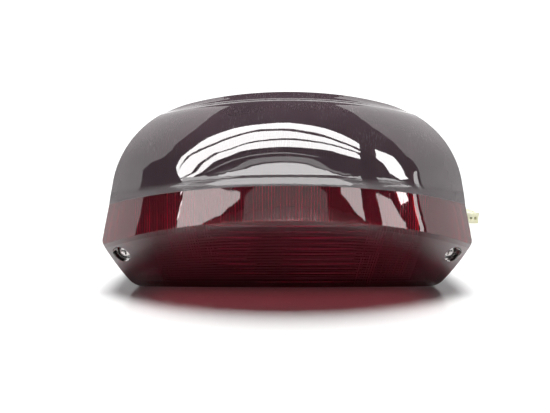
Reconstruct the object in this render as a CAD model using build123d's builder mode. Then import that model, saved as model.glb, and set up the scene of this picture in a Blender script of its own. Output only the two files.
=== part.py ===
"""Rear light of a motorcycle. Millimetres, +X across the light, +Y to its back, +Z up.

Depths are measured back from the foremost point of the lens, and at() turns one into a Y.
"""

from math import asin, cos, pi, radians, sin, sqrt, tan
import os

from build123d import *

os.makedirs("parts", exist_ok=True)

# ---- driving dimensions -------------------------------------------------
HEIGHT = 122.6
DEPTH = 118.0
RIM = 43.0
LENS_BACK = 49.0
HOUSING_FRONT = 49.6
HOUSING_BACK = 100.5
LENS_WALL = 2.8
HOUSING_WALL = 2.6
HOUSING_LIFT = 0.4
SEAL_OUTER = 0.8
SEAL_INNER = 3.2
SEAL_T = 2.4

# front outline of the rim
TOP_R = 256.0
TOP_ANGLE = 13.3
SHOULDER_R = 62.6
SIDE_ANGLE = 76.0
CORNER_X = 114.8
CORNER_Z = 33.2
FOOT_X = 98.6

# front surfaces of the lens
RIDGE_Z = 54.8
RIDGE_TILT = 36.6
RIDGE_R = 184.6
LIP = 3.0
CREASE_Z = 73.0
CREASE_TILT = 27.0
CREASE_R = 174.0
CREASE_BACK = 1.6
# the dome above the crease: rise, setback, half width
CROWN = ((11.0, 1.9, 116.0), (19.0, 3.2, 116.0), (28.0, 6.2, 116.0), (33.0, 9.6, 116.0),
         (38.0, 14.6, 114.0), (43.5, 22.7, 104.0), (48.0, 34.0, 86.0), (53.0, 50.0, 48.0))
FOOT_BACK = 41.0
FOOT_R = 2500.0
PILLOW_DEPTH = 48.5
PILLOW_POWER = 2.3
PILLOW_Z = 55.0
PILLOW_STEPS = (0, 0.15, 0.31, 0.47, 0.64, 0.79, 0.93)

# lens screws
SCREW_X = 100.7
SCREW_Z = 26.5
RECESS_R = 5.5
RECESS_FLOOR = 40.0
PILLAR_R = 7.7
HEAD_R = 4.4
HEAD_T = 3.2
WASHER_R = 5.0
WASHER_T = 0.8
SHANK_R = 2.5
SHANK_END = 66.0

# bulbs, sockets and reflector
BULB_X = 50.0
BULB_Z = 38.0
BULB_TIP = 25.0
GLOBE_R = 12.5
CAP_R = 7.6
CAP_FRONT = 54.0
CAP_BACK = 76.5
PIN_DEPTH = 69.0
PIN_R = 1.0
SOCKET_R = 8.6
SOCKET_BORE_R = 7.8
SOCKET_FRONT = 62.0
SOCKET_BACK = 88.0
PUSH = 2.0
SEAT = 54.0
BOWL_R = 29.0
BOWL_NECK_R = 13.2
BOWL_BACK = 74.0
REFLECTOR_T = 1.6
RIVET_CIRCLE = 15.0
RIVET_R = 1.0
CONTACT_UP = 2.8
BOSS_PLACES = ((0.0, 11.5), (-76.0, 88.0), (76.0, 88.0))

# fixings behind
STUD_X = 40.0
STUD_Z = 74.0
STUD_R = 3.0
STUD_NECK_R = 3.4
STUD_FLANGE_R = 5.0
STUD_FLANGE_T = 5.0
STUD_IN = HOUSING_BACK - 9.0
STUD_BOSS_R = 7.0
STUD_BOSS = HOUSING_BACK + 1.5
GROMMET_Z = 38.0

# lead
SHEATH_R = 2.8
CORE_R = 0.8
CONNECTOR_X = 197.0
CONNECTOR_Y = 150.0
CONNECTOR_SIZE = (15.6, 22.0, 11.0)
WAY_PITCH = 4.3


def at(depth):
    """The Y of a depth behind the front of the lens."""
    return depth - DEPTH / 2


def facing(depth, z=0.0, x=0.0):
    """An upright plane at a depth: its X is the light's X, its Y is up, its normal is forward."""
    return Plane(origin=(x, at(depth), z), x_dir=(1, 0, 0), z_dir=(0, -1, 0))


def outline(inset=0.0):
    """The rim's outline, with its foot on the ground."""
    with BuildSketch() as shape:
        with BuildLine():
            top = JernArc(start=(0, HEIGHT), tangent=(1, 0), radius=TOP_R, arc_size=-TOP_ANGLE)
            turn = SIDE_ANGLE - TOP_ANGLE
            shoulder = JernArc(start=top @ 1, tangent=top % 1, radius=SHOULDER_R, arc_size=-turn)
            Line(shoulder @ 1, (CORNER_X, CORNER_Z))
            Line((CORNER_X, CORNER_Z), (FOOT_X, 0))
            Line((FOOT_X, 0), (0, 0))
            mirror(about=Plane.YZ)
        make_face()
        fillet(shape.vertices().filter_by(lambda v: abs(v.Y - CORNER_Z) < 0.1), radius=5)
        fillet(shape.vertices().filter_by(lambda v: abs(v.Y) < 0.1 and abs(v.X) > 90), radius=9)
        if inset:
            offset(amount=-inset, kind=Kind.INTERSECTION)
    return shape.sketch


def shrunk(inset, size, pivot_z=0.0):
    """The outline made smaller about a point on the centre line."""
    return Pos(0, pivot_z * (1 - size)) * scale(outline(inset), by=size, mode=Mode.PRIVATE)


def block(face, front, back):
    """A face drawn in the outline's plane, run from one depth to another."""
    with BuildPart() as run:
        with BuildSketch(facing(front)):
            add(face)
        extrude(amount=front - back)
    return run.part


def ring(outer, inner, front, back):
    """A band between two insets of the outline."""
    with BuildPart() as band:
        add(block(outline(outer), front, back))
        add(block(outline(inner), front - 1, back + 1), mode=Mode.SUBTRACT)
    return band.part


def rod(x, z, radius, front, back):
    """A plain cylinder along Y."""
    with BuildPart() as body:
        with BuildSketch(facing(front, z, x)):
            Circle(radius)
        extrude(amount=front - back)
    return body.part


def tube(x, z, radius, bore, front, back):
    """A plain tube along Y."""
    with BuildPart() as body:
        with BuildSketch(facing(front, z, x)):
            Circle(radius)
            Circle(bore, mode=Mode.SUBTRACT)
        extrude(amount=front - back)
    return body.part


def turned(x, z, points):
    """A solid of revolution about a line along Y: points are (radius, depth)."""
    profile = [(x + radius, at(depth)) for radius, depth in points]
    with BuildPart() as body:
        with BuildSketch(Plane(origin=(0, 0, z), x_dir=(1, 0, 0), z_dir=(0, 0, 1))):
            with BuildLine():
                Polyline(*profile, close=True)
            make_face()
        revolve(axis=Axis((x, 0, z), (0, 1, 0)))
    return body.part


def save(piece, name):
    """Writes one piece to its own file."""
    piece.label = name
    export_step(piece, f"parts/{name}.step")
    print(name, len(piece.solids()), round(piece.volume), piece.is_valid)


# ---- lens ---------------------------------------------------------------
def front_section(z, tilt, radius, setback, half=116.0):
    """A sloping cut through the lens: a shallow arc in front, straight behind the rim."""
    sag = radius - sqrt(radius**2 - half**2)
    reach = (LENS_BACK + 16 - setback) / cos(radians(tilt))
    slope = (0, sin(radians(tilt)), cos(radians(tilt)))
    plane = Plane(origin=(0, at(setback), z), x_dir=(1, 0, 0), z_dir=slope)
    with BuildSketch(plane) as cut:
        with BuildLine():
            ThreePointArc((-half, sag), (0, 0), (half, sag))
            Polyline((half, sag), (half, reach), (-half, reach), (-half, sag))
        make_face()
    return cut.sketch


def between(*sections, ruled=True):
    """The solid that joins sloping cuts."""
    with BuildPart() as slab:
        for section in sections:
            add(section)
        loft(ruled=ruled)
    return slab.part


def pillow(inset):
    """The rounded limit of the sides and the top, as deep as the rim is wide."""
    depth = PILLOW_DEPTH - inset
    with BuildPart() as cushion:
        for step in PILLOW_STEPS:
            size = (1 - step**PILLOW_POWER) ** (1 / PILLOW_POWER)
            with BuildSketch(facing(RIM - step * depth)):
                add(shrunk(inset, size, PILLOW_Z))
        loft()
    with BuildPart() as limit:
        add(cushion.part)
        add(block(outline(inset), RIM, LENS_BACK))
    return limit.part


def lens_body(inset):
    """The lens as a full body, or with an inset as the space behind its wall."""
    base = front_section(inset, 0, FOOT_R, FOOT_BACK + 1.25 * inset)
    low = front_section(RIDGE_Z - LIP, RIDGE_TILT, RIDGE_R, 0.6 + 1.3 * inset)
    ridge = front_section(RIDGE_Z, RIDGE_TILT, RIDGE_R, inset)
    crease = front_section(CREASE_Z, CREASE_TILT, CREASE_R, CREASE_BACK + inset)
    crown = [crease]
    for rise, setback, half in CROWN:
        crown.append(front_section(CREASE_Z + rise, CREASE_TILT, CREASE_R, setback + inset, half))
    with BuildPart() as body:
        add(between(base, low))
        add(between(low, ridge))
        add(between(ridge, crease))
        add(between(*crown, ruled=False))
        add(pillow(inset), mode=Mode.INTERSECT)
    return body.part


full_lens = lens_body(0.0)
lens_space = lens_body(LENS_WALL)
print("lens", round(full_lens.volume), "space", round(lens_space.volume), full_lens.is_valid)

with BuildPart() as lens:
    add(full_lens)
    add(lens_space, mode=Mode.SUBTRACT)
    for side in (-1, 1):
        pillar = rod(side * SCREW_X, SCREW_Z, PILLAR_R, 20, LENS_BACK)
        add(pillar & full_lens)
        add(rod(side * SCREW_X, SCREW_Z, RECESS_R, 10, RECESS_FLOOR), mode=Mode.SUBTRACT)
        add(rod(side * SCREW_X, SCREW_Z, SHANK_R + 0.4, 20, LENS_BACK + 1), mode=Mode.SUBTRACT)
save(lens.part, "lens")

# the seal between lens and housing, in a groove
save(ring(SEAL_OUTER, SEAL_INNER, LENS_BACK, LENS_BACK + SEAL_T), "lens_gasket")


# ---- housing ------------------------------------------------------------
def shell_body(inset, front, back):
    """The housing's outside, or its space: full behind the lens, smaller to the back."""
    shoulder = 58.0
    narrow = 0.86
    with BuildPart() as body:
        add(block(outline(inset), front, shoulder))
        with BuildSketch(facing(shoulder)):
            add(outline(inset))
        with BuildSketch(facing(back)):
            add(shrunk(inset, narrow))
        loft(ruled=True)
    return body.part


def boss_rib(side):
    """The web that ties a screw boss to the housing's side."""
    with BuildPart() as web:
        with Locations((side * (SCREW_X + 6), at(SEAT + 8), SCREW_Z)):
            Box(12, 14, 3)
    return web.part


shell_outside = shell_body(0.0, HOUSING_FRONT, HOUSING_BACK)
shell_space = Pos(0, 0, HOUSING_LIFT) * shell_body(HOUSING_WALL, SEAT + 3, HOUSING_BACK - HOUSING_WALL)

with BuildPart() as housing:
    add(shell_outside)
    add(shell_space, mode=Mode.SUBTRACT)
    add(block(outline(4.6), HOUSING_FRONT - 1, SEAT), mode=Mode.SUBTRACT)
    add(block(outline(7.0), SEAT - 1, SEAT + 4), mode=Mode.SUBTRACT)
    add(ring(SEAL_OUTER, SEAL_INNER, HOUSING_FRONT - 1, LENS_BACK + SEAL_T), mode=Mode.SUBTRACT)
    for side in (-1, 1):
        boss = rod(side * SCREW_X, SCREW_Z, 6.0, HOUSING_FRONT, SHANK_END + 3)
        add(boss)
        add(boss_rib(side) & shell_outside)
        add(rod(side * SCREW_X, SCREW_Z, SHANK_R + 0.05, 40, SHANK_END + 1), mode=Mode.SUBTRACT)
        add(rod(side * STUD_X, STUD_Z, STUD_BOSS_R, STUD_IN - 1, STUD_BOSS))
        add(rod(side * STUD_X, STUD_Z, STUD_NECK_R, STUD_IN, STUD_BOSS), mode=Mode.SUBTRACT)
        add(rod(side * STUD_X, STUD_Z, STUD_FLANGE_R, STUD_IN, STUD_IN + STUD_FLANGE_T), mode=Mode.SUBTRACT)
    for boss_x, boss_z in BOSS_PLACES:
        add(rod(boss_x, boss_z, 4.0, SEAT, HOUSING_BACK - 1) & shell_outside)
        add(rod(boss_x, boss_z, 1.5, SEAT - 1, SEAT + 14), mode=Mode.SUBTRACT)
    add(rod(0, GROMMET_Z, 6.0, HOUSING_BACK - 5, HOUSING_BACK + 1), mode=Mode.SUBTRACT)
    for hole_x in (-70, 70):
        with Locations((hole_x, at(75), 2)):
            Cylinder(radius=2.0, height=8, mode=Mode.SUBTRACT)
save(housing.part, "housing")

# ---- reflector and the dark upper mask ----------------------------------
def rivet_places(side):
    """The four rivets round a socket."""
    corners = [radians(angle) for angle in (45, 135, 225, 315)]
    return [(side * BULB_X + RIVET_CIRCLE * cos(turn), BULB_Z + RIVET_CIRCLE * sin(turn)) for turn in corners]


with BuildPart() as reflector:
    add(block(outline(5.2), SEAT - REFLECTOR_T, SEAT))
    for side in (-1, 1):
        bowl = [
            (0, SEAT - REFLECTOR_T), (BOWL_R + 1.5, SEAT - REFLECTOR_T), (BOWL_R + 1.5, SEAT),
            (26.5, 62), (21.5, 69), (17.5, BOWL_BACK), (0, BOWL_BACK),
        ]
        space = [
            (0, SEAT - 4), (BOWL_R, SEAT - 4), (BOWL_R, SEAT), (25.2, 61.4), (20.2, 68.2),
            (16.6, BOWL_BACK - REFLECTOR_T), (0, BOWL_BACK - REFLECTOR_T),
        ]
        add(turned(side * BULB_X, BULB_Z, bowl))
        add(turned(side * BULB_X, BULB_Z, space), mode=Mode.SUBTRACT)
        add(rod(side * BULB_X, BULB_Z, BOWL_NECK_R, 50, 80), mode=Mode.SUBTRACT)
        add(rod(side * SCREW_X, SCREW_Z, 7.0, 40, 60), mode=Mode.SUBTRACT)
        for rivet_x, rivet_z in rivet_places(side):
            add(rod(rivet_x, rivet_z, RIVET_R, 60, 80), mode=Mode.SUBTRACT)
    for boss_x, boss_z in BOSS_PLACES:
        add(rod(boss_x, boss_z, 1.7, 40, 60), mode=Mode.SUBTRACT)
save(reflector.part, "reflector")


def arch(back, rise, thick):
    """A shelf that is arched like the crease, from the front to a depth."""
    with BuildPart() as shelf:
        with BuildSketch(facing(0)):
            with BuildLine():
                upper = ThreePointArc((-118, rise - 24), (0, rise), (118, rise - 24))
                lower = ThreePointArc((-118, rise - 24 - thick), (0, rise - thick), (118, rise - 24 - thick))
                Line(upper @ 0, lower @ 0)
                Line(upper @ 1, lower @ 1)
            make_face()
        extrude(amount=-back)
    return shelf.part


MASK_BACK = SEAT - REFLECTOR_T - 0.2
MASK_T = 1.6
mask_rise = CREASE_Z - 1.0
with BuildPart() as mask:
    add(arch(LENS_BACK, mask_rise, MASK_T))
    add(lens_body(LENS_WALL + 1.2), mode=Mode.INTERSECT)
    add(arch(MASK_BACK, mask_rise, MASK_T) & block(outline(5.6), LENS_BACK - 5, MASK_BACK))
    add(arch(MASK_BACK, mask_rise + 100, 100.5) & block(outline(5.6), MASK_BACK - MASK_T, MASK_BACK))
    for boss_x, boss_z in BOSS_PLACES[1:]:
        add(rod(boss_x, boss_z, 1.7, 40, 60), mode=Mode.SUBTRACT)
save(mask.part, "upper_mask")


def group(pieces, name):
    """Saves separate solids of one kind as one node."""
    whole = Compound(label=name, children=[solid for piece in pieces for solid in piece.solids()])
    export_step(whole, f"parts/{name}.step")
    print(name, len(pieces), round(sum(solid.volume for solid in whole.solids())))


def phillips(x, z, front, radius, thick):
    """A pan head with a cross recess, to be fused to its shank."""
    with BuildPart() as head:
        with BuildSketch(facing(front + thick, z, x)):
            Circle(radius)
        extrude(amount=thick)
        fillet(head.faces().sort_by(Axis.Y)[0].edges(), radius=thick * 0.45)
        with BuildSketch(facing(front, z, x)):
            Rectangle(radius * 1.2, radius * 0.27)
            Rectangle(radius * 0.27, radius * 1.2)
        extrude(amount=-thick * 0.5, taper=12, mode=Mode.SUBTRACT)
    return head.part


def screw(x, z, front, radius, thick, shank, end):
    """A pan-headed screw that points straight back."""
    with BuildPart() as body:
        add(phillips(x, z, front, radius, thick))
        add(rod(x, z, shank, front + thick, end))
        chamfer(body.faces().sort_by(Axis.Y)[-1].edges(), length=shank * 0.3)
    return body.part


head_front = RECESS_FLOOR - WASHER_T - HEAD_T
group(
    [screw(side * SCREW_X, SCREW_Z, head_front, HEAD_R, HEAD_T, SHANK_R, SHANK_END) for side in (-1, 1)],
    "lens_screws",
)
group(
    [tube(side * SCREW_X, SCREW_Z, WASHER_R, SHANK_R + 0.2, RECESS_FLOOR - WASHER_T, RECESS_FLOOR)
     for side in (-1, 1)],
    "lens_screw_washers",
)

small_screws = []
for boss_x, boss_z in BOSS_PLACES:
    seat = MASK_BACK - MASK_T if boss_z > CREASE_Z else SEAT - REFLECTOR_T
    small_screws.append(screw(boss_x, boss_z, seat - 2.0, 2.8, 2.0, 1.45, SEAT + 12))
group(small_screws, "reflector_screws")

# ---- mounting studs -----------------------------------------------------
studs = []
for side in (-1, 1):
    with BuildPart() as stud:
        add(rod(side * STUD_X, STUD_Z, STUD_R, STUD_IN, DEPTH))
        chamfer(stud.faces().sort_by(Axis.Y)[-1].edges(), length=0.8)
        add(rod(side * STUD_X, STUD_Z, STUD_NECK_R, STUD_IN, STUD_BOSS))
        add(rod(side * STUD_X, STUD_Z, STUD_FLANGE_R, STUD_IN, STUD_IN + STUD_FLANGE_T))
    studs.append(stud.part)
group(studs, "mounting_studs")


# ---- bulbs and sockets --------------------------------------------------
def bulb_glass(x):
    """A round glass envelope, hollow, on a short neck."""
    centre = BULB_TIP + GLOBE_R
    wall = 0.8

    def skin(radius, neck, back):
        with BuildPart() as body:
            with BuildSketch(Plane(origin=(0, 0, BULB_Z), x_dir=(1, 0, 0), z_dir=(0, 0, 1))):
                with BuildLine():
                    spread = asin(min(0.99, (neck + 1.2) / radius))
                    foot = (x + radius * sin(spread), at(centre) + radius * cos(spread))
                    tip = (x, at(centre) - radius)
                    dome = ThreePointArc(tip, (x + radius, at(centre)), foot)
                    Polyline(
                        dome @ 1, (x + neck, at(CAP_FRONT - 1)), (x + neck, at(back)), (x, at(back)), dome @ 0
                    )
                make_face()
            revolve(axis=Axis((x, 0, BULB_Z), (0, 1, 0)))
        return body.part

    with BuildPart() as glass:
        add(skin(GLOBE_R, CAP_R - 0.6, CAP_FRONT + 4))
        add(skin(GLOBE_R - wall, CAP_R - 0.6 - wall, CAP_FRONT + 5), mode=Mode.SUBTRACT)
    return glass.part


def bulb_cap(x):
    """The brass cap with its two bayonet pins."""
    with BuildPart() as cap:
        add(turned(x, BULB_Z, [
            (0, CAP_BACK), (CAP_R - 2.2, CAP_BACK), (CAP_R, CAP_BACK - 2.0), (CAP_R, CAP_FRONT + 1),
            (CAP_R - 0.58, CAP_FRONT), (CAP_R - 0.58, CAP_BACK - 4), (0, CAP_BACK - 4),
        ]))
        with BuildSketch(Plane(origin=(x, at(PIN_DEPTH), BULB_Z), z_dir=(1, 0, 0))):
            Circle(PIN_R)
        extrude(amount=CAP_R + 1.3, both=True)
        add(rod(x, BULB_Z, CAP_R - 0.6, CAP_FRONT - 1, CAP_BACK - 4), mode=Mode.SUBTRACT)
    return cap.part


def filaments(x):
    """Glass stem, four support wires and two coils."""
    centre = BULB_TIP + GLOBE_R
    parts = [rod(x, BULB_Z, 3.2, centre + 9, CAP_FRONT + 6)]
    for height, depth in ((-2.5, centre - 1.0), (2.5, centre + 3.0)):
        for across in (-3.0, 3.0):
            parts.append(rod(x + across * 0.7, BULB_Z + height * 0.6, 0.3, depth + 0.6, centre + 9))
        with BuildPart() as coil:
            with BuildSketch(Plane(origin=(x, at(depth), BULB_Z + height * 0.6), z_dir=(1, 0, 0))):
                Circle(0.6)
            extrude(amount=3.2, both=True)
        parts.append(coil.part)
    return parts


def slot_cutters(x):
    """The two J slots: in from the mouth, round by a twist, and back to the pin's seat."""
    width = 2.5 * PIN_R
    twist = 34.0
    seat = at(PIN_DEPTH)
    pushed = at(PIN_DEPTH + PUSH)
    cutters = []
    for half_turn in (0, 180):
        frame = Pos(x, 0, BULB_Z) * Rot(0, half_turn, 0)
        with BuildPart() as hook:
            with Locations((8.2, (seat + pushed) / 2, 0)):
                Box(3.6, pushed - seat + width, width)
        with BuildPart() as way_round:
            with BuildSketch(Plane(origin=(0, pushed - width / 2, 0), x_dir=(1, 0, 0), z_dir=(0, 1, 0))):
                with BuildLine():
                    outer = CenterArc((0, 0), 10, 0, twist)
                    inner = CenterArc((0, 0), 6.4, 0, twist)
                    Line(outer @ 0, inner @ 0)
                    Line(outer @ 1, inner @ 1)
                make_face()
            extrude(amount=width)
        with BuildPart() as way_in:
            with Locations((8.2, (at(SOCKET_FRONT - 1) + pushed + width / 2) / 2, 0)):
                Box(3.6, pushed + width / 2 - at(SOCKET_FRONT - 1), width)
        cutters += [
            frame * hook.part,
            frame * way_round.part,
            frame * Rot(0, twist, 0) * way_in.part,
        ]
    return cutters


def socket_shell(x):
    """Steel tube with two J slots and a fixing flange."""
    with BuildPart() as shell:
        add(tube(x, BULB_Z, SOCKET_R, SOCKET_BORE_R, SOCKET_FRONT, SOCKET_BACK))
        add(tube(x, BULB_Z, SOCKET_R, 4.2, SOCKET_BACK - 1, SOCKET_BACK))
        add(tube(x, BULB_Z, 17.0, SOCKET_R - 0.2, BOWL_BACK, BOWL_BACK + 1.2))
        for cutter in slot_cutters(x):
            add(cutter, mode=Mode.SUBTRACT)
        for rivet_x, rivet_z in rivet_places(1 if x > 0 else -1):
            add(rod(rivet_x, rivet_z, RIVET_R, BOWL_BACK - 1, BOWL_BACK + 2), mode=Mode.SUBTRACT)
    return shell.part


def spring(x, front, back):
    """The coil behind the contact carrier, as short as a pushed-in bulb leaves it."""
    with BuildPart() as coil:
        turns = 3
        radius = 6.0
        path = Helix(pitch=(back - front - 1.0) / turns, height=back - front - 1.0, radius=radius)
        with BuildSketch(Plane(origin=path @ 0, z_dir=path % 0)):
            Circle(0.4)
        sweep(path=path, is_frenet=True)
    return Pos(x, at(front + 0.5), BULB_Z) * Rot(-90, 0, 0) * coil.part


CONTACT_FRONT = CAP_BACK + 1.0
CARRIER_FRONT = CONTACT_FRONT + 1.0
CARRIER_BACK = CARRIER_FRONT + 2.4
for hand, side in (("left", -1), ("right", 1)):
    here = side * BULB_X
    save(bulb_glass(here), f"bulb_glass_{hand}")
    save(bulb_cap(here), f"bulb_cap_{hand}")
    group(filaments(here), f"bulb_filaments_{hand}")
    group(
        [rod(here, BULB_Z + up, 1.5, CAP_BACK, CONTACT_FRONT) for up in (-CONTACT_UP, CONTACT_UP)],
        f"bulb_contacts_{hand}",
    )
    save(socket_shell(here), f"socket_shell_{hand}")
    with BuildPart() as carrier:
        add(rod(here, BULB_Z, SOCKET_BORE_R - 0.4, CARRIER_FRONT, CARRIER_BACK))
        for up in (-CONTACT_UP, CONTACT_UP):
            add(rod(here, BULB_Z + up, 1.2, CARRIER_FRONT - 1, CARRIER_BACK + 1), mode=Mode.SUBTRACT)
    save(carrier.part, f"contact_carrier_{hand}")
    pins = []
    for up in (-CONTACT_UP, CONTACT_UP):
        with BuildPart() as pin:
            add(rod(here, BULB_Z + up, 1.5, CONTACT_FRONT, CARRIER_FRONT))
            add(rod(here, BULB_Z + up, 1.2, CARRIER_FRONT, CARRIER_BACK + 1.2))
        pins.append(pin.part)
    group(pins, f"contact_pins_{hand}")
    save(spring(here, CARRIER_BACK + PUSH + 0.1, SOCKET_BACK - 1), f"contact_spring_{hand}")

rivets = []
for side in (-1, 1):
    for rivet_x, rivet_z in rivet_places(side):
        with BuildPart() as rivet:
            add(rod(rivet_x, rivet_z, RIVET_R - 0.05, BOWL_BACK - REFLECTOR_T, BOWL_BACK + 1.2))
            add(rod(rivet_x, rivet_z, 1.7, BOWL_BACK + 1.2, BOWL_BACK + 2.0))
        rivets.append(rivet.part)
group(rivets, "socket_rivets")


# ---- wiring inside ------------------------------------------------------
WIRE_R = 0.7
WIRE_BACK = SOCKET_BACK + 8.0
SPLICE = (18.0, 5.4, 16.0)


def run_of_tube(points, radii, radius):
    """A round tube along straight runs joined by tangent arcs."""
    with BuildPart() as body:
        with BuildLine() as route:
            FilletPolyline(*points, radius=radii)
        with BuildSketch(Plane(origin=points[0], z_dir=Vector(*points[1]) - Vector(*points[0]))):
            Circle(radius)
        sweep()
    length = route.wires()[0].length
    print("tube", round(length, 1), "mm, volume over section x length:",
          round(body.part.volume / (pi * radius**2 * length), 4))
    return body.part


for hand, side in (("left", -1), ("right", 1)):
    here = side * BULB_X
    wires = []
    for up in (-CONTACT_UP, 0.0, CONTACT_UP):
        begin = (here, at(SOCKET_BACK + 0.2), BULB_Z + up)
        corner = (here, at(WIRE_BACK), BULB_Z + up)
        finish = (side * SPLICE[0] / 2, at(WIRE_BACK), BULB_Z + up)
        wires.append(run_of_tube([begin, corner, finish], 10 * WIRE_R, WIRE_R))
    group(wires, f"inner_wires_{hand}")

with BuildPart() as splice:
    with Locations((0, at(HOUSING_BACK - HOUSING_WALL) - SPLICE[1] / 2, GROMMET_Z)):
        Box(*SPLICE)
    fillet(splice.edges().filter_by(Axis.Y), radius=2)
save(splice.part, "splice_block")

clips = []
for side in (-1, 1):
    with BuildPart() as clip:
        with Locations((side * 27, at(WIRE_BACK), GROMMET_Z)):
            Box(4, 2 * WIRE_R + 1.6, 11)
        with Locations((side * 27, (at(WIRE_BACK) + at(HOUSING_BACK - HOUSING_WALL)) / 2, GROMMET_Z)):
            Box(4, HOUSING_BACK - HOUSING_WALL - WIRE_BACK, 11)
        for up in (-CONTACT_UP, 0.0, CONTACT_UP):
            with Locations((side * 27, at(WIRE_BACK), GROMMET_Z + up)):
                Cylinder(radius=WIRE_R + 0.02, height=10, rotation=(0, 90, 0), mode=Mode.SUBTRACT)
    clips.append(clip.part)
group(clips, "wire_clips")

with BuildPart() as grommet:
    wall_front = HOUSING_BACK - HOUSING_WALL
    add(turned(0, GROMMET_Z, [
        (SHEATH_R, wall_front), (5.9, wall_front), (5.9, HOUSING_BACK), (9.0, HOUSING_BACK),
        (9.0, HOUSING_BACK + 1.6), (5.2, HOUSING_BACK + 3.0), (4.4, HOUSING_BACK + 9.0),
        (SHEATH_R, HOUSING_BACK + 9.0),
    ]))
save(grommet.part, "lead_grommet")


# ---- harness lead -------------------------------------------------------
connector_rear = CONNECTOR_Y + CONNECTOR_SIZE[1]
connector_mid = CONNECTOR_SIZE[2] / 2
LEAD_POINTS = [
    (0.0, at(HOUSING_BACK - HOUSING_WALL), GROMMET_Z),
    (0.0, 78.0, 38.0),
    (14.0, 118.0, 20.0),
    (38.0, 158.0, 3.4),
    (82.0, 204.0, 3.2),
    (146.0, 242.0, 3.2),
    (CONNECTOR_X, connector_rear + 55.0, connector_mid),
    (CONNECTOR_X, connector_rear + 15.0, connector_mid),
]


def bend_radii(points):
    """The largest arc that the two runs at each corner allow."""
    radii = []
    for before, corner, after in zip(points, points[1:], points[2:]):
        run_in = Vector(*corner) - Vector(*before)
        run_out = Vector(*after) - Vector(*corner)
        half_turn = radians(run_in.get_angle(run_out)) / 2
        radii.append(0.45 * min(run_in.length, run_out.length) / tan(half_turn))
    return radii


lead_radii = bend_radii(LEAD_POINTS)
print("lead radii", [round(radius, 1) for radius in lead_radii])
save(run_of_tube(LEAD_POINTS, lead_radii, SHEATH_R), "harness_lead")

# ---- connector ----------------------------------------------------------
cores = []
for way in (-1, 0, 1):
    sheath_end = (CONNECTOR_X + 1.75 * way, connector_rear + 15.0, connector_mid)
    entry = (CONNECTOR_X + WAY_PITCH * way, connector_rear, connector_mid)
    bend_in = (sheath_end[0], connector_rear + 11.5, connector_mid)
    bend_out = (entry[0], connector_rear + 3.5, connector_mid)
    with BuildPart() as core:
        with BuildLine():
            if way:
                FilletPolyline(sheath_end, bend_in, bend_out, entry, radius=8.0)
            else:
                Line(sheath_end, entry)
        with BuildSketch(Plane(origin=sheath_end, z_dir=(0, -1, 0))):
            Circle(CORE_R)
        sweep()
    cores.append(core.part)
group(cores, "lead_wires")

with BuildPart() as connector:
    with Locations((CONNECTOR_X, CONNECTOR_Y + CONNECTOR_SIZE[1] / 2, connector_mid)):
        Box(*CONNECTOR_SIZE)
    fillet(connector.edges().filter_by(Axis.Y), radius=0.8)
    for way in (-1, 0, 1):
        with Locations((CONNECTOR_X + WAY_PITCH * way, CONNECTOR_Y + 8, connector_mid)):
            Box(2.4, 16.2, 2.4, mode=Mode.SUBTRACT)
        with Locations((CONNECTOR_X + WAY_PITCH * way, CONNECTOR_Y + 6.0, CONNECTOR_SIZE[2] - 1)):
            Box(1.8, 3.6, 4, mode=Mode.SUBTRACT)
    with Locations((CONNECTOR_X, CONNECTOR_Y + 14.5, CONNECTOR_SIZE[2] - 0.5)):
        Box(6, 9, 1.0, mode=Mode.SUBTRACT)
    with Locations((CONNECTOR_X, CONNECTOR_Y + 12, CONNECTOR_SIZE[2] - 0.5)):
        Box(4.2, 14, 1.0)
save(connector.part, "connector_housing")

terminals = []
for way in (-1, 0, 1):
    with BuildPart() as terminal:
        with Locations((CONNECTOR_X + WAY_PITCH * way, CONNECTOR_Y + 8.2, connector_mid)):
            Box(2.0, 12.0, 1.8)
            Box(1.2, 13.0, 0.9, mode=Mode.SUBTRACT)
    terminals.append(terminal.part)
group(terminals, "connector_terminals")

whole = [path for path in sorted(os.listdir("parts")) if path.endswith(".step")]
print(len(whole), "nodes")
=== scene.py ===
"""The rear light as the photograph shows it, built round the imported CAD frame."""

from math import cos, pi, radians, sin, sqrt, tan

import bmesh
import bpy
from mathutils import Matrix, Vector


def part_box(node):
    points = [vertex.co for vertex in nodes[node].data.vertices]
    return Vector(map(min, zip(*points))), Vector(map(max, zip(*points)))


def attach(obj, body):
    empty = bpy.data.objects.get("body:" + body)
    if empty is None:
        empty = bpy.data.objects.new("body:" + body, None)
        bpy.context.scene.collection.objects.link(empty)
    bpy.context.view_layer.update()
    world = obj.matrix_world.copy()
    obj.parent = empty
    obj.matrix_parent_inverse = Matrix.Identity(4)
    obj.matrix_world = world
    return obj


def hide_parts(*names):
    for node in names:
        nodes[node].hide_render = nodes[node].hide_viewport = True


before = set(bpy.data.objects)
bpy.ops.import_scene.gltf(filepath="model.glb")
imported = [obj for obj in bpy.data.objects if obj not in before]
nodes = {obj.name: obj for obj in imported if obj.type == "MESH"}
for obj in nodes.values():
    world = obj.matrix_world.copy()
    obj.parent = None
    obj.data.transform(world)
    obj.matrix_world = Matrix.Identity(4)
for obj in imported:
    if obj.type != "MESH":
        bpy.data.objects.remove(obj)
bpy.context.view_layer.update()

# the lens's foremost place, which the front edges, the camera and the lights start from
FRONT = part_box("lens")[0][1]

# the lens's front edges, in metres, as the CAD has them: each is an arc in a plane that slopes back
RIDGE_Z, RIDGE_TILT, RIDGE_R = 0.0548, radians(36.6), 0.1846
CREASE_Z, CREASE_TILT, CREASE_R, CREASE_BACK = 0.0730, radians(27.0), 0.1740, 0.0016
LIP = 0.0030  # the lip's height under the ridge
FOOT_BACK = 0.0410  # how far behind the ridge the chin meets the table
WALL = 0.0028
EDGE_BLUR = 0.0003  # half the width over which one colour turns into the next

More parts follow.
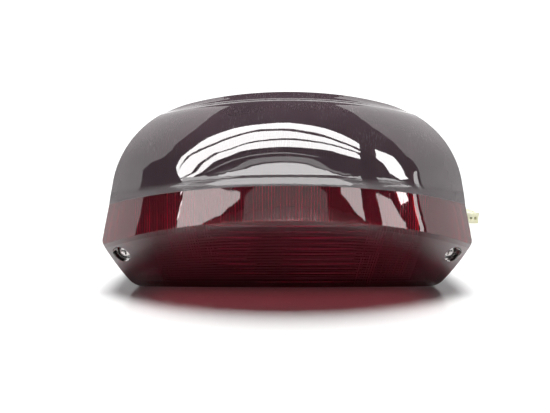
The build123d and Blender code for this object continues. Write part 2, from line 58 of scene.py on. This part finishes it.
# the ribs moulded inside the lens
BAND_RIB, CHIN_RIB, CHIN_SHEET_RIB = 0.0016, 0.0042, 0.0020
LEVEL_RIBS_TO = 0.048  # the chin's ribs are level up to here, and upright beyond

# the camera, against the lens's front
CAMERA_SIDE, CAMERA_BACK, CAMERA_UP = -0.0074, 0.2116, 0.1073
CAMERA_DOWN = 12  # degrees
FOCAL_MM, SENSOR_MM = 27.16, 36.0

# the room
EDGE = 3.0  # of the table, each way from the middle
WALL_Y, WALL_TOP = 2.2, 1.9
SIDE_X = 1.5
BACKDROP_X, BACKDROP_Y, BACKDROP_TOP = 1.49, -1.5, 2.5
CARD_Z = 0.003  # the bright stretch of table hangs just over it
CARD_DISTANCE = 2.0
EYE_Z = 0.06  # directions are taken from this height at the lens


# ---- small tools --------------------------------------------------------
def new_object(name, mesh):
    thing = bpy.data.objects.new(name, mesh)
    bpy.context.collection.objects.link(thing)
    return thing


def quad_mesh(name, corners, material):
    """A flat four-cornered sheet, used for the room round the object."""
    mesh = bpy.data.meshes.new(name)
    mesh.from_pydata(corners, [], [tuple(range(len(corners)))])
    mesh.materials.append(material)
    sheet = new_object(name, mesh)
    return sheet


class Nodes:
    """A short way to write a material's node tree."""

    def __init__(self, name):
        self.material = bpy.data.materials.new(name)
        self.material.use_nodes = True
        self.tree = self.material.node_tree
        self.tree.nodes.clear()
        self.out = self.tree.nodes.new("ShaderNodeOutputMaterial")

    def add(self, kind, inputs=None, **settings):
        node = self.tree.nodes.new(kind)
        for key, value in settings.items():
            setattr(node, key, value)
        for key, value in (inputs or {}).items():
            self.feed(node.inputs[key], value)
        return node

    def feed(self, socket, value):
        if isinstance(value, bpy.types.NodeSocket):
            self.tree.links.new(value, socket)
        else:
            socket.default_value = value

    def position(self, scale=1.0):
        """The place on the piece, in its own metres times a scale."""
        place = self.add("ShaderNodeTexCoord").outputs["Object"]
        if scale == 1.0:
            return place
        return self.add("ShaderNodeVectorMath", {0: place, "Scale": scale}, operation="SCALE").outputs[0]

    def noise(self, scale, detail=3.0, place=None, roughness=0.5):
        where = place if place is not None else self.position()
        inputs = {"Vector": where, "Scale": scale, "Detail": detail, "Roughness": roughness}
        return self.add("ShaderNodeTexNoise", inputs).outputs["Fac"]

    def ramp(self, value, low, high, start=0.0, end=1.0):
        """A value spread from one range to another."""
        inputs = {"Value": value, "From Min": start, "From Max": end, "To Min": low, "To Max": high}
        return self.add("ShaderNodeMapRange", inputs).outputs["Result"]

    def math(self, operation, a, b=0.0, clamp=False):
        return self.add("ShaderNodeMath", {0: a, 1: b}, operation=operation, use_clamp=clamp).outputs[0]

    def mix(self, factor, a, b):
        """Two colours mixed."""
        node = self.add("ShaderNodeMix", data_type="RGBA")
        self.feed(node.inputs["Factor"], factor)
        self.feed(node.inputs["A"], a)
        self.feed(node.inputs["B"], b)
        return node.outputs["Result"]

    def bump(self, height, strength, distance):
        inputs = {"Height": height, "Strength": strength, "Distance": distance}
        return self.add("ShaderNodeBump", inputs).outputs["Normal"]

    def blend(self, factor, a, b):
        """Two shaders mixed."""
        return self.add("ShaderNodeMixShader", {0: factor, 1: a, 2: b}).outputs[0]

    def finish(self, shader):
        self.tree.links.new(shader, self.out.inputs["Surface"])
        return self.material


def rgb(red, green, blue):
    return (red, green, blue, 1.0)


def solid(name, low, high, rough, metal=0.0, scale=60.0, bump=0.0, bump_scale=900.0, ior=1.5, coat=0.0):
    """An opaque material: a colour that drifts between two tones, uneven gloss, fine grain."""
    n = Nodes(name)
    drift = n.noise(scale, 4.0)
    colour = n.mix(n.ramp(drift, 0.0, 1.0, 0.35, 0.65), rgb(*low), rgb(*high))
    gloss = n.ramp(n.noise(scale * 3.1, 5.0), rough[0], rough[1], 0.3, 0.7)
    inputs = {"Base Color": colour, "Roughness": gloss, "Metallic": metal, "IOR": ior, "Coat Weight": coat}
    if bump:
        inputs["Normal"] = n.bump(n.noise(bump_scale, 3.0), bump, 0.0002)
    return n.finish(n.add("ShaderNodeBsdfPrincipled", inputs).outputs[0])


# ---- the moulded red lens -----------------------------------------------
def above_crease(n):
    """1 above the sloping plane of the crease and 0 under it, with a thin soft edge."""
    parts = n.add("ShaderNodeSeparateXYZ", {0: n.position()})
    slope = n.math("MULTIPLY", n.math("SUBTRACT", parts.outputs["Y"], FRONT + CREASE_BACK), tan(CREASE_TILT))
    height = n.math("ADD", parts.outputs["Z"], slope)
    return n.ramp(height, 0.0, 1.0, CREASE_Z - EDGE_BLUR, CREASE_Z + EDGE_BLUR)


def ribs(n, along, pitch, sharp=0.45):
    """Painted highlights: thin bright lines painted where the ribs inside the lens would catch the light,
    broken up so that no two are alike.
    """
    phase = n.math("SINE", n.math("MULTIPLY", along, 2 * pi / pitch))
    line = n.ramp(phase, 0.0, 1.0, sharp, 1.0)
    places = n.add("ShaderNodeCombineXYZ", {0: n.math("MULTIPLY", along, 260.0)}).outputs[0]
    uneven = n.ramp(n.noise(1.0, 2.0, place=places), 0.15, 1.0, 0.35, 0.65)
    return n.math("MULTIPLY", line, uneven)


def ridge_height(n):
    """How far a point is above the sloping plane of the ridge."""
    parts = n.add("ShaderNodeSeparateXYZ", {0: n.position()})
    slope = n.math("MULTIPLY", n.math("SUBTRACT", parts.outputs["Y"], FRONT), tan(RIDGE_TILT))
    return n.math("SUBTRACT", n.math("ADD", parts.outputs["Z"], slope), RIDGE_Z)


def hairlines(n, turn, length):
    """Fine rubbed lines that run one way."""
    stretch = {"Vector": n.position(), "Rotation": (0, radians(turn), 0), "Scale": (2800, 500, length)}
    field = n.noise(1.0, 2.0, place=n.add("ShaderNodeMapping", stretch).outputs[0])
    return n.ramp(field, 0.0, 1.0, 0.60, 0.72)


def lens_material():
    n = Nodes("red_lens")
    dome = above_crease(n)
    place = n.add("ShaderNodeSeparateXYZ", {0: n.position()})
    across, height = place.outputs["X"], place.outputs["Z"]
    chin = n.ramp(ridge_height(n), 1.0, 0.0, -0.0004, 0.0004)
    drift = n.ramp(n.noise(35.0, 3.0), 0.0, 1.0, 0.3, 0.7)
    patch = n.ramp(n.noise(26.0, 4.0), 0.0, 1.0, 0.42, 0.62)

    # painted highlights: the ribs' bright lines are painted into the band, the chin and, faintly, the dome
    upright_rib_highlights = ribs(n, across, BAND_RIB)
    level = ribs(n, height, CHIN_RIB, 0.3)
    outward = n.math("ABSOLUTE", across)
    middle = n.ramp(outward, 1.0, 0.0, 0.75 * LEVEL_RIBS_TO, LEVEL_RIBS_TO)
    chin_rib_highlights = n.math("ADD", n.math("MULTIPLY", level, middle),
                       n.math("MULTIPLY", n.math("MULTIPLY", upright_rib_highlights, n.math("SUBTRACT", 1.0, middle)), 0.7))
    band_red = n.mix(drift, rgb(0.125, 0.004, 0.013), rgb(0.16, 0.006, 0.018))
    band = n.mix(n.math("MULTIPLY", upright_rib_highlights, n.ramp(patch, 0.25, 1.0)), band_red, rgb(0.62, 0.012, 0.045))
    # painted shade: the chin, which faces down under the ridge, is given a darker red than the band
    shaded_chin_red = n.mix(drift, rgb(0.042, 0.006, 0.010), rgb(0.056, 0.008, 0.013))
    under = n.mix(n.math("MULTIPLY", chin_rib_highlights, n.ramp(patch, 0.2, 1.0)), shaded_chin_red, rgb(0.22, 0.010, 0.030))
    smoke = n.mix(drift, rgb(0.072, 0.048, 0.058), rgb(0.098, 0.066, 0.079))
    faint = n.mix(n.math("MULTIPLY", upright_rib_highlights, n.ramp(patch, 0.0, 0.35)), smoke, rgb(0.13, 0.030, 0.045))
    crown = n.ramp(height, 0.0, 1.0, 0.084, 0.104)
    rubbed = n.math("MULTIPLY", crown, n.ramp(n.noise(45.0, 3.0), 0.05, 1.0, 0.42, 0.62))
    marks = n.math("MAXIMUM", hairlines(n, 55, 150.0), hairlines(n, -35, 190.0))
    clean = n.mix(dome, n.mix(chin, band, under), faint)
    body = n.mix(n.math("MULTIPLY", marks, n.math("MULTIPLY", rubbed, 0.34)), clean, rgb(0.5, 0.49, 0.5))
    tint = n.mix(dome, rgb(0.66, 0.030, 0.06), rgb(0.34, 0.17, 0.20))

    stretch = {"Vector": n.position(), "Rotation": (0, radians(35), radians(20)), "Scale": (1500, 1500, 55)}
    scratches = n.noise(1.0, 5.0, place=n.add("ShaderNodeMapping", stretch).outputs[0])
    worn = n.ramp(n.noise(30.0, 4.0), 0.0, 1.0, 0.48, 0.66)
    gloss = n.ramp(n.math("MULTIPLY", n.ramp(scratches, 0.0, 1.0, 0.58, 0.78), worn), 0.02, 0.30)
    skin = n.add("ShaderNodeBsdfPrincipled", {
        "Base Color": body, "Roughness": 0.45, "Specular IOR Level": 0.0,
    }).outputs[0]
    through = n.add("ShaderNodeBsdfTransparent", {"Color": tint}).outputs[0]
    inside = n.blend(n.ramp(n.math("MAXIMUM", dome, chin), 0.45, 0.22), skin, through)
    facing = n.add("ShaderNodeFresnel", {"IOR": 1.60}).outputs[0]
    shine = n.add("ShaderNodeBsdfGlossy", {"Color": rgb(1, 0.99, 0.99), "Roughness": gloss}).outputs[0]
    chin_gloss = n.math("MULTIPLY", chin, n.ramp(outward, 0.5, 2.2, 0.075, 0.110))
    face_gloss = n.math("MULTIPLY", n.math("SUBTRACT", 1.0, chin), 1.25)
    strength = n.math("ADD", chin_gloss, face_gloss)
    return n.finish(n.blend(n.math("MULTIPLY", facing, strength, clamp=True), inside, shine))


def flute_material():
    """The ribs moulded inside the lens, which pick the light up as red lines; below the ridge they carry
    painted shade, a darker red.
    """
    n = Nodes("lens_flutes")
    drift = n.noise(80.0, 2.0)
    colour = n.mix(n.ramp(drift, 0.0, 1.0, 0.35, 0.65), rgb(0.50, 0.008, 0.032), rgb(0.66, 0.015, 0.045))
    # painted shade: the flutes under the ridge are turned a dark red
    dark = n.mix(n.ramp(ridge_height(n), 1.0, 0.0, -0.004, 0.001), colour, rgb(0.10, 0.006, 0.014))
    inputs = {"Base Color": dark, "Roughness": 0.25, "IOR": 1.49}
    return n.finish(n.add("ShaderNodeBsdfPrincipled", inputs).outputs[0])


# ---- camera and room ----------------------------------------------------
def camera():
    """A phone held close in front of the lens, looking a little down."""
    data = bpy.data.cameras.new("camera")
    data.sensor_width = SENSOR_MM
    data.lens = FOCAL_MM
    data.clip_start = 0.01
    view = bpy.data.objects.new("camera", data)
    bpy.context.collection.objects.link(view)
    view.location = (CAMERA_SIDE, FRONT - CAMERA_BACK, CAMERA_UP)
    view.rotation_euler = (radians(90 - CAMERA_DOWN), 0, 0)
    bpy.context.scene.camera = view


def glow(name, strength, colour=(1, 1, 1)):
    n = Nodes(name)
    return n.finish(n.add("ShaderNodeEmission", {"Color": rgb(*colour), "Strength": strength}).outputs[0])


def hide_from_all_but_gloss(sheet):
    """Keeps a studio card out of everything but reflections."""
    sheet.visible_camera = False
    sheet.visible_diffuse = False
    sheet.visible_shadow = False
    sheet.visible_transmission = False


def card(name, corners, material):
    """A flat lit sheet that only shows as a reflection."""
    hide_from_all_but_gloss(quad_mesh(name, corners, material))


def toward(azimuth, elevation):
    """The point that the lens sees in a direction in degrees: azimuth 0 is straight ahead of it."""
    flat = CARD_DISTANCE * cos(radians(elevation))
    side, ahead = flat * sin(radians(azimuth)), flat * cos(radians(azimuth))
    return (side, -ahead, EYE_Z + CARD_DISTANCE * sin(radians(elevation)))


def eased(line, steps=5):
    """A line of directions with a smooth curve put through its points."""
    ends = [line[0], *line, line[-1]]
    points = []
    for i in range(1, len(ends) - 2):
        before, here, there, after = (Vector(point) for point in ends[i - 1:i + 3])
        for j in range(steps):
            t = j / steps
            square = t * t * (2 * before - 5 * here + 4 * there - after)
            cube = t**3 * (3 * here - before - 3 * there + after)
            points.append(0.5 * (2 * here + t * (there - before) + square + cube))
    return [tuple(point) for point in points] + [tuple(line[-1])]


def curved_card(name, lower, upper, material):
    """A card between two curved lines of (azimuth, elevation) directions."""
    low, high = eased(lower), eased(upper)
    mesh = bpy.data.meshes.new(name)
    points = [toward(*direction) for direction in low + high]
    count = len(low)
    faces = [(i, i + 1, count + i + 1, count + i) for i in range(count - 1)]
    mesh.from_pydata(points, [], faces)
    mesh.materials.append(material)
    sheet = new_object(name, mesh)
    hide_from_all_but_gloss(sheet)


def table_and_walls():
    """A white table between white walls. The camera sees pale backdrops where the room is open or dark."""
    table = Nodes("white_table")
    sheen = table.ramp(table.noise(9.0, 3.0), 0.10, 0.16, 0.3, 0.7)
    shade = table.mix(table.noise(3.0, 2.0), rgb(0.92, 0.92, 0.92), rgb(0.95, 0.95, 0.945))
    top = table.finish(table.add("ShaderNodeBsdfPrincipled", {
        "Base Color": shade, "Roughness": sheen, "IOR": 1.40,
    }).outputs[0])
    quad_mesh("table", [(-EDGE, -EDGE, 0), (EDGE, -EDGE, 0), (EDGE, EDGE, 0), (-EDGE, EDGE, 0)], top)
    corners = [(-EDGE, WALL_Y, 0), (EDGE, WALL_Y, 0), (EDGE, WALL_Y, WALL_TOP), (-EDGE, WALL_Y, WALL_TOP)]
    quad_mesh("wall_behind", corners, glow("white_wall", 1.25))

    backdrop = glow("backdrop", 1.25)
    near_left, near_right = (-BACKDROP_X, BACKDROP_Y), (BACKDROP_X, BACKDROP_Y)
    far_left, far_right = (-BACKDROP_X, WALL_Y), (BACKDROP_X, WALL_Y)
    sides = (("front", near_left, near_right), ("left", near_left, far_left), ("right", near_right, far_right))
    for name, start, end in sides:
        corners = [(*start, 0), (*end, 0), (*end, BACKDROP_TOP), (*start, BACKDROP_TOP)]
        sheet = quad_mesh(f"backdrop_{name}", corners, backdrop)
        sheet.visible_glossy = sheet.visible_diffuse = False
        sheet.visible_shadow = sheet.visible_transmission = False


def side_walls():
    """The side walls that the lens's outer parts reflect, stepped where the windows' wall begins."""
    side = glow("side_wall", 1.5)
    for x in (-SIDE_X, SIDE_X):
        foot = -0.50 if x < 0 else -0.66
        profile = ((foot, 0), (foot, 0.22), (-0.84, 0.45), (-0.86, 0.7), (-0.66, 1.4), (-0.30, 2.1),
                   (0.30, 2.8), (0.76, 3.2), (1.3, 3.7), (1.9, 4.2), (3.0, 4.9), (3.0, 0))
        card(f"wall_{'left' if x < 0 else 'right'}", [(x, y, z) for y, z in profile], side)


def window_panes():
    """The windows in front of the lens, in the dome as bright arcs and in the band as pale patches."""
    window = glow("window", 14.0)
    curved_card("pane_high",
                [(-52, 7), (-40, 26), (-34, 41), (-23, 56), (-10, 58.5), (3, 59), (13, 54), (23, 46),
                 (30, 31), (37, 19)],
                [(-53, 8), (-48, 22), (-48, 41), (-43, 62), (-24, 71), (0, 74), (20, 70), (33, 60),
                 (37, 44), (39, 26)], window)
    curved_card("pane_middle",
                [(-50, 4), (-36, 14), (-27, 20), (-16, 31), (2, 36), (18, 29), (27, 22), (36, 15)],
                [(-52, 7), (-39, 22), (-32, 37), (-21, 51), (2, 53), (21, 40), (29, 27), (37, 16)], window)
    curved_card("pane_low",
                [(-49, 1), (-36, 10), (-27, 14), (-14, 19), (1, 21), (17, 18), (26, 15), (36, 12)],
                [(-49.5, 3), (-36, 12.6), (-27, 18.5), (-15, 28.5), (2, 32), (18, 26), (27, 20), (36, 13.6)],
                window)
    curved_card("pane_right", [(44, 12), (49, 8), (55, 2.8)], [(45, 19), (53, 12), (59.5, 3.6)], window)
    pale = glow("window_low", 5.0)
    curved_card("patch_left", [(-48, -1.5), (-38, -1.0), (-27, -0.6), (-20, 0.4)],
                [(-49, 5), (-36, 4), (-27, 2.2), (-20, 1.2)], pale)
    curved_card("patch_middle", [(25, 1), (35, -1.4)], [(25, 2), (35, 3)], pale)
    curved_card("patch_right", [(43, -1), (58, -1)], [(42.5, 3), (50, 3)], pale)
    curved_card("patch_line", [(62, -1.6), (64.5, -1.6)], [(63, 6), (65, 6)], pale)


def reflected_table():
    """The bright stretch of the table, as the band and the dome's foot reflect it."""
    bright = glow("bright_table", 6.5)
    outline = [(-0.11, -0.17), (0, -0.19), (0.10, -0.165), (0.14, -0.24), (0.36, -0.84), (-0.42, -0.84),
               (-0.18, -0.24)]
    card("table_near", [(x, y, CARD_Z) for x, y in outline], bright)
    curved_card("table_far", [(-31, 3), (-17, 2.5), (1, 2.5), (16, 2.5), (26, 2.6)],
                [(-31, 4.5), (-17, 10.5), (1, 12), (16, 10), (26, 3.4)], glow("pale_table", 8.0))
    curved_card("haze", [(-33, 5), (-17, 11), (1, 12.4), (16, 10.4), (30, 3.5)],
                [(-33, 6), (-17, 12.5), (1, 14.2), (16, 12), (30, 5)], glow("haze", 2.2))
    curved_card("haze_low", [(-18, -4), (-9, -6), (1, -6.5), (10, -6), (19, -4)],
                [(-18, 0.6), (-9, 2.2), (1, 2.4), (10, 2.2), (19, 0.6)], glow("haze_low", 0.75))
    curved_card("glint", [(-37, 7.5), (-26, 11.6), (-14, 14.6), (1, 15.6), (16, 13.6)],
                [(-37, 7.8), (-26, 12.0), (-14, 15.1), (1, 16.1), (16, 13.9)], glow("glint", 3.0))


def area_light(name, width, depth, energy, location):
    """A rectangle of light that points down and never shows as a reflection."""
    light = bpy.data.lights.new(name, "AREA")
    light.shape = "RECTANGLE"
    light.size, light.size_y = width, depth
    light.energy = energy
    lamp = bpy.data.objects.new(name, light)
    bpy.context.collection.objects.link(lamp)
    lamp.location = location
    lamp.visible_glossy = False
    return light


def lighting():
    area_light("softbox", 1.1, 0.8, 54.0, (0, 0.05, 2.0))
    red = area_light("light_through_the_lens", 0.17, 0.03, 0.0032, (0, FRONT + 0.022, 0.014))
    red.color = (1.0, 0.06, 0.10)

    world = bpy.data.worlds.new("room")
    bpy.context.scene.world = world
    world.use_nodes = True
    world.node_tree.nodes["Background"].inputs[0].default_value = (0.075, 0.068, 0.074, 1)
    bpy.context.scene.view_settings.view_transform = "Standard"
    bpy.context.scene.cycles.caustics_reflective = False


def room():
    """A white table between white walls, open in front to a dark room with windows."""
    table_and_walls()
    side_walls()
    window_panes()
    reflected_table()
    lighting()


# ---- materials for the CAD pieces --------------------------------------
def dress():
    looks = {
        "lens": lens_material(),
        "lens_gasket": solid("seal_rubber", (0.012, 0.012, 0.012), (0.03, 0.03, 0.03), (0.55, 0.8), bump=0.3),
        "housing": solid("black_housing", (0.010, 0.010, 0.011), (0.022, 0.022, 0.024), (0.38, 0.55),
                         bump=0.45, bump_scale=1400),
        "reflector": solid("reflector_metal", (0.72, 0.72, 0.74), (0.86, 0.86, 0.88), (0.08, 0.22), 1.0),
        "upper_mask": solid("mask_plastic", (0.008, 0.008, 0.008), (0.02, 0.018, 0.018), (0.5, 0.7), bump=0.3),
        "lens_screws": solid("screw_steel", (0.26, 0.24, 0.24), (0.46, 0.44, 0.43), (0.22, 0.42), 1.0, 300),
        "reflector_screws": solid("zinc_steel", (0.42, 0.41, 0.37), (0.62, 0.60, 0.52), (0.25, 0.5), 1.0, 250),
        "splice_block": solid("splice_plastic", (0.02, 0.02, 0.022), (0.05, 0.05, 0.052), (0.4, 0.6), bump=0.2),
        "connector_housing": connector_material(),
        "connector_terminals": solid("terminal_tin", (0.55, 0.50, 0.38), (0.75, 0.70, 0.55), (0.2, 0.4), 1.0,
                                     400),
    }
    looks["lens_screw_washers"] = looks["lens_screws"]
    looks["mounting_studs"] = looks["reflector_screws"]
    looks["socket_rivets"] = looks["reflector_screws"]
    looks["wire_clips"] = looks["splice_block"]
    looks["lead_grommet"] = looks["lens_gasket"]
    brass = solid("cap_brass", (0.50, 0.36, 0.13), (0.78, 0.60, 0.28), (0.15, 0.42), 1.0, 280)
    steel = solid("socket_steel", (0.40, 0.40, 0.39), (0.62, 0.61, 0.58), (0.25, 0.5), 1.0, 220)
    board = solid("carrier_board", (0.16, 0.07, 0.03), (0.28, 0.13, 0.06), (0.5, 0.75), bump=0.3)
    wire = solid("filament_wire", (0.35, 0.35, 0.35), (0.6, 0.6, 0.6), (0.2, 0.4), 1.0, 500)
    solder = solid("solder", (0.45, 0.45, 0.46), (0.66, 0.66, 0.68), (0.2, 0.45), 1.0, 400)
    insulation = solid("wire_insulation", (0.10, 0.05, 0.015), (0.20, 0.11, 0.03), (0.35, 0.55))
    glass = bulb_glass_material()
    for hand in ("left", "right"):
        looks[f"bulb_glass_{hand}"] = glass
        looks[f"bulb_cap_{hand}"] = brass
        looks[f"contact_pins_{hand}"] = brass
        looks[f"bulb_filaments_{hand}"] = wire
        looks[f"contact_spring_{hand}"] = wire
        looks[f"bulb_contacts_{hand}"] = solder
        looks[f"socket_shell_{hand}"] = steel
        looks[f"contact_carrier_{hand}"] = board
        looks[f"inner_wires_{hand}"] = insulation
    for name, material in looks.items():
        for slot in nodes[name].material_slots:
            slot.material = material


def bulb_glass_material():
    n = Nodes("bulb_glass")
    clear = n.add("ShaderNodeBsdfTransparent", {"Color": rgb(0.93, 0.93, 0.92)}).outputs[0]
    gloss = n.ramp(n.noise(120.0, 3.0), 0.02, 0.08, 0.3, 0.7)
    shine = n.add("ShaderNodeBsdfGlossy", {"Roughness": gloss}).outputs[0]
    facing = n.add("ShaderNodeFresnel", {"IOR": 1.5}).outputs[0]
    return n.finish(n.blend(facing, clear, shine))


def connector_material():
    """Aged natural nylon, a little yellow and waxy."""
    n = Nodes("connector_nylon")
    age = n.noise(140.0, 4.0)
    colour = n.mix(n.ramp(age, 0.0, 1.0, 0.35, 0.65), rgb(0.80, 0.80, 0.52), rgb(0.88, 0.87, 0.66))
    inputs = {
        "Base Color": colour, "Roughness": n.ramp(n.noise(420.0), 0.35, 0.55, 0.3, 0.7),
        "Subsurface Weight": 0.25, "Subsurface Radius": (0.002, 0.002, 0.0012), "IOR": 1.52,
        "Normal": n.bump(n.noise(900.0), 0.2, 0.0001),
    }
    return n.finish(n.add("ShaderNodeBsdfPrincipled", inputs).outputs[0])


# ---- ribs inside the lens ----------------------------------------------
def front_line(z, tilt, radius, setback, x):
    """A point of one of the lens's curved front edges, in the plane that slopes back."""
    depth = radius - sqrt(radius**2 - x**2)
    return Vector((x, FRONT + setback + depth * cos(tilt), z - depth * sin(tilt)))


def ribbed_sheet(name, lower, upper, span, pitch, rows=6, swell=0.0006, steps=4, across=False):
    """A sheet between two edges, in half-round ribs that run up it, or across it."""
    mesh = bpy.data.meshes.new(name)
    builder = bmesh.new()
    columns = round(2 * span / pitch) * steps
    lines = rows if not across else rows * steps
    grid = []
    for i in range(columns + 1):
        x = -span + 2 * span * i / columns
        low, high = lower(x), upper(x)
        column = []
        for j in range(lines + 1):
            point = low.lerp(high, j / lines)
            phase = (j if across else i) % steps / steps
            point.y += swell * abs(sin(pi * phase)) * -1.0
            column.append(builder.verts.new(point))
        grid.append(column)
    for i in range(columns):
        for j in range(lines):
            builder.faces.new((grid[i][j], grid[i + 1][j], grid[i + 1][j + 1], grid[i][j + 1]))
    for face in builder.faces:
        face.smooth = True
    builder.to_mesh(mesh)
    builder.free()
    return new_object(name, mesh)


def flutes():
    """The vertical ribs of the red band, and the level ones under the ridge."""
    behind = WALL + 0.0009
    material = flute_material()

    def crease_line(x):
        return front_line(CREASE_Z - 0.0012, CREASE_TILT, CREASE_R, CREASE_BACK + behind, x)

    def ridge_line(x):
        return front_line(RIDGE_Z + 0.0006, RIDGE_TILT, RIDGE_R, behind, x)

    def lip_line(x):
        return front_line(RIDGE_Z - LIP - 0.002, RIDGE_TILT, RIDGE_R, 0.0006 + 1.6 * behind, x)

    def foot_line(x):
        return Vector((x, FRONT + FOOT_BACK + 0.5 * behind, WALL + 0.0015))

    band = ribbed_sheet("band_flutes", ridge_line, crease_line, 0.096, BAND_RIB)
    chin = ribbed_sheet("chin_flutes", foot_line, lip_line, 0.080, CHIN_SHEET_RIB, rows=18, across=True)
    for piece in (band, chin):
        piece.data.materials.append(material)
        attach(piece, "light")


# ---- the lead -----------------------------------------------------------
SHEATH_R = 0.0028
LEAD_POINTS = [
    (0.0, 0.0389, 0.038), (0.0, 0.078, 0.038), (0.014, 0.118, 0.020), (0.038, 0.158, 0.0034),
    (0.082, 0.204, 0.0032), (0.146, 0.242, 0.0032), (0.197, 0.227, 0.0055), (0.197, 0.187, 0.0055),
]


def lead():
    curve = bpy.data.curves.new("harness_lead_sheath", "CURVE")
    curve.dimensions = "3D"
    curve.bevel_depth = SHEATH_R
    curve.bevel_resolution = 6
    curve.resolution_u = 10
    curve.use_fill_caps = True
    line = curve.splines.new("NURBS")
    line.points.add(len(LEAD_POINTS) - 1)
    for point, place in zip(line.points, LEAD_POINTS):
        point.co = (*place, 1.0)
    line.order_u = 3
    line.use_endpoint_u = True
    sheath = new_object("harness_lead_sheath", curve)
    rubber = solid("lead_sheath", (0.012, 0.012, 0.013), (0.03, 0.03, 0.032), (0.35, 0.6), bump=0.3)
    curve.materials.append(rubber)
    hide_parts("harness_lead")
    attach(sheath, "light")
    tones = {"brown": (0.10, 0.035, 0.012), "yellow": (0.62, 0.42, 0.03), "black": (0.012, 0.012, 0.012)}
    wires = nodes["lead_wires"]
    for slot in wires.material_slots:
        slot.material = lead_wire_material(tones)


def lead_wire_material(tones):
    """Three insulation colours, told apart by where each wire lies."""
    n = Nodes("wire_insulation_short")
    x = n.add("ShaderNodeSeparateXYZ", {0: n.position()}).outputs["X"]
    low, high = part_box("lead_wires")
    middle = (low[0] + high[0]) / 2
    right = n.math("GREATER_THAN", x, middle + 0.0011)
    left = n.math("LESS_THAN", x, middle - 0.0011)
    colour = n.mix(right, n.mix(left, rgb(*tones["black"]), rgb(*tones["brown"])), rgb(*tones["yellow"]))
    worn = n.mix(n.ramp(n.noise(300.0), 0.0, 0.25, 0.4, 0.7), colour, rgb(0.3, 0.28, 0.25))
    inputs = {"Base Color": worn, "Roughness": n.ramp(n.noise(500.0), 0.3, 0.5)}
    return n.finish(n.add("ShaderNodeBsdfPrincipled", inputs).outputs[0])


camera()
lead()
flutes()
dress()
room()
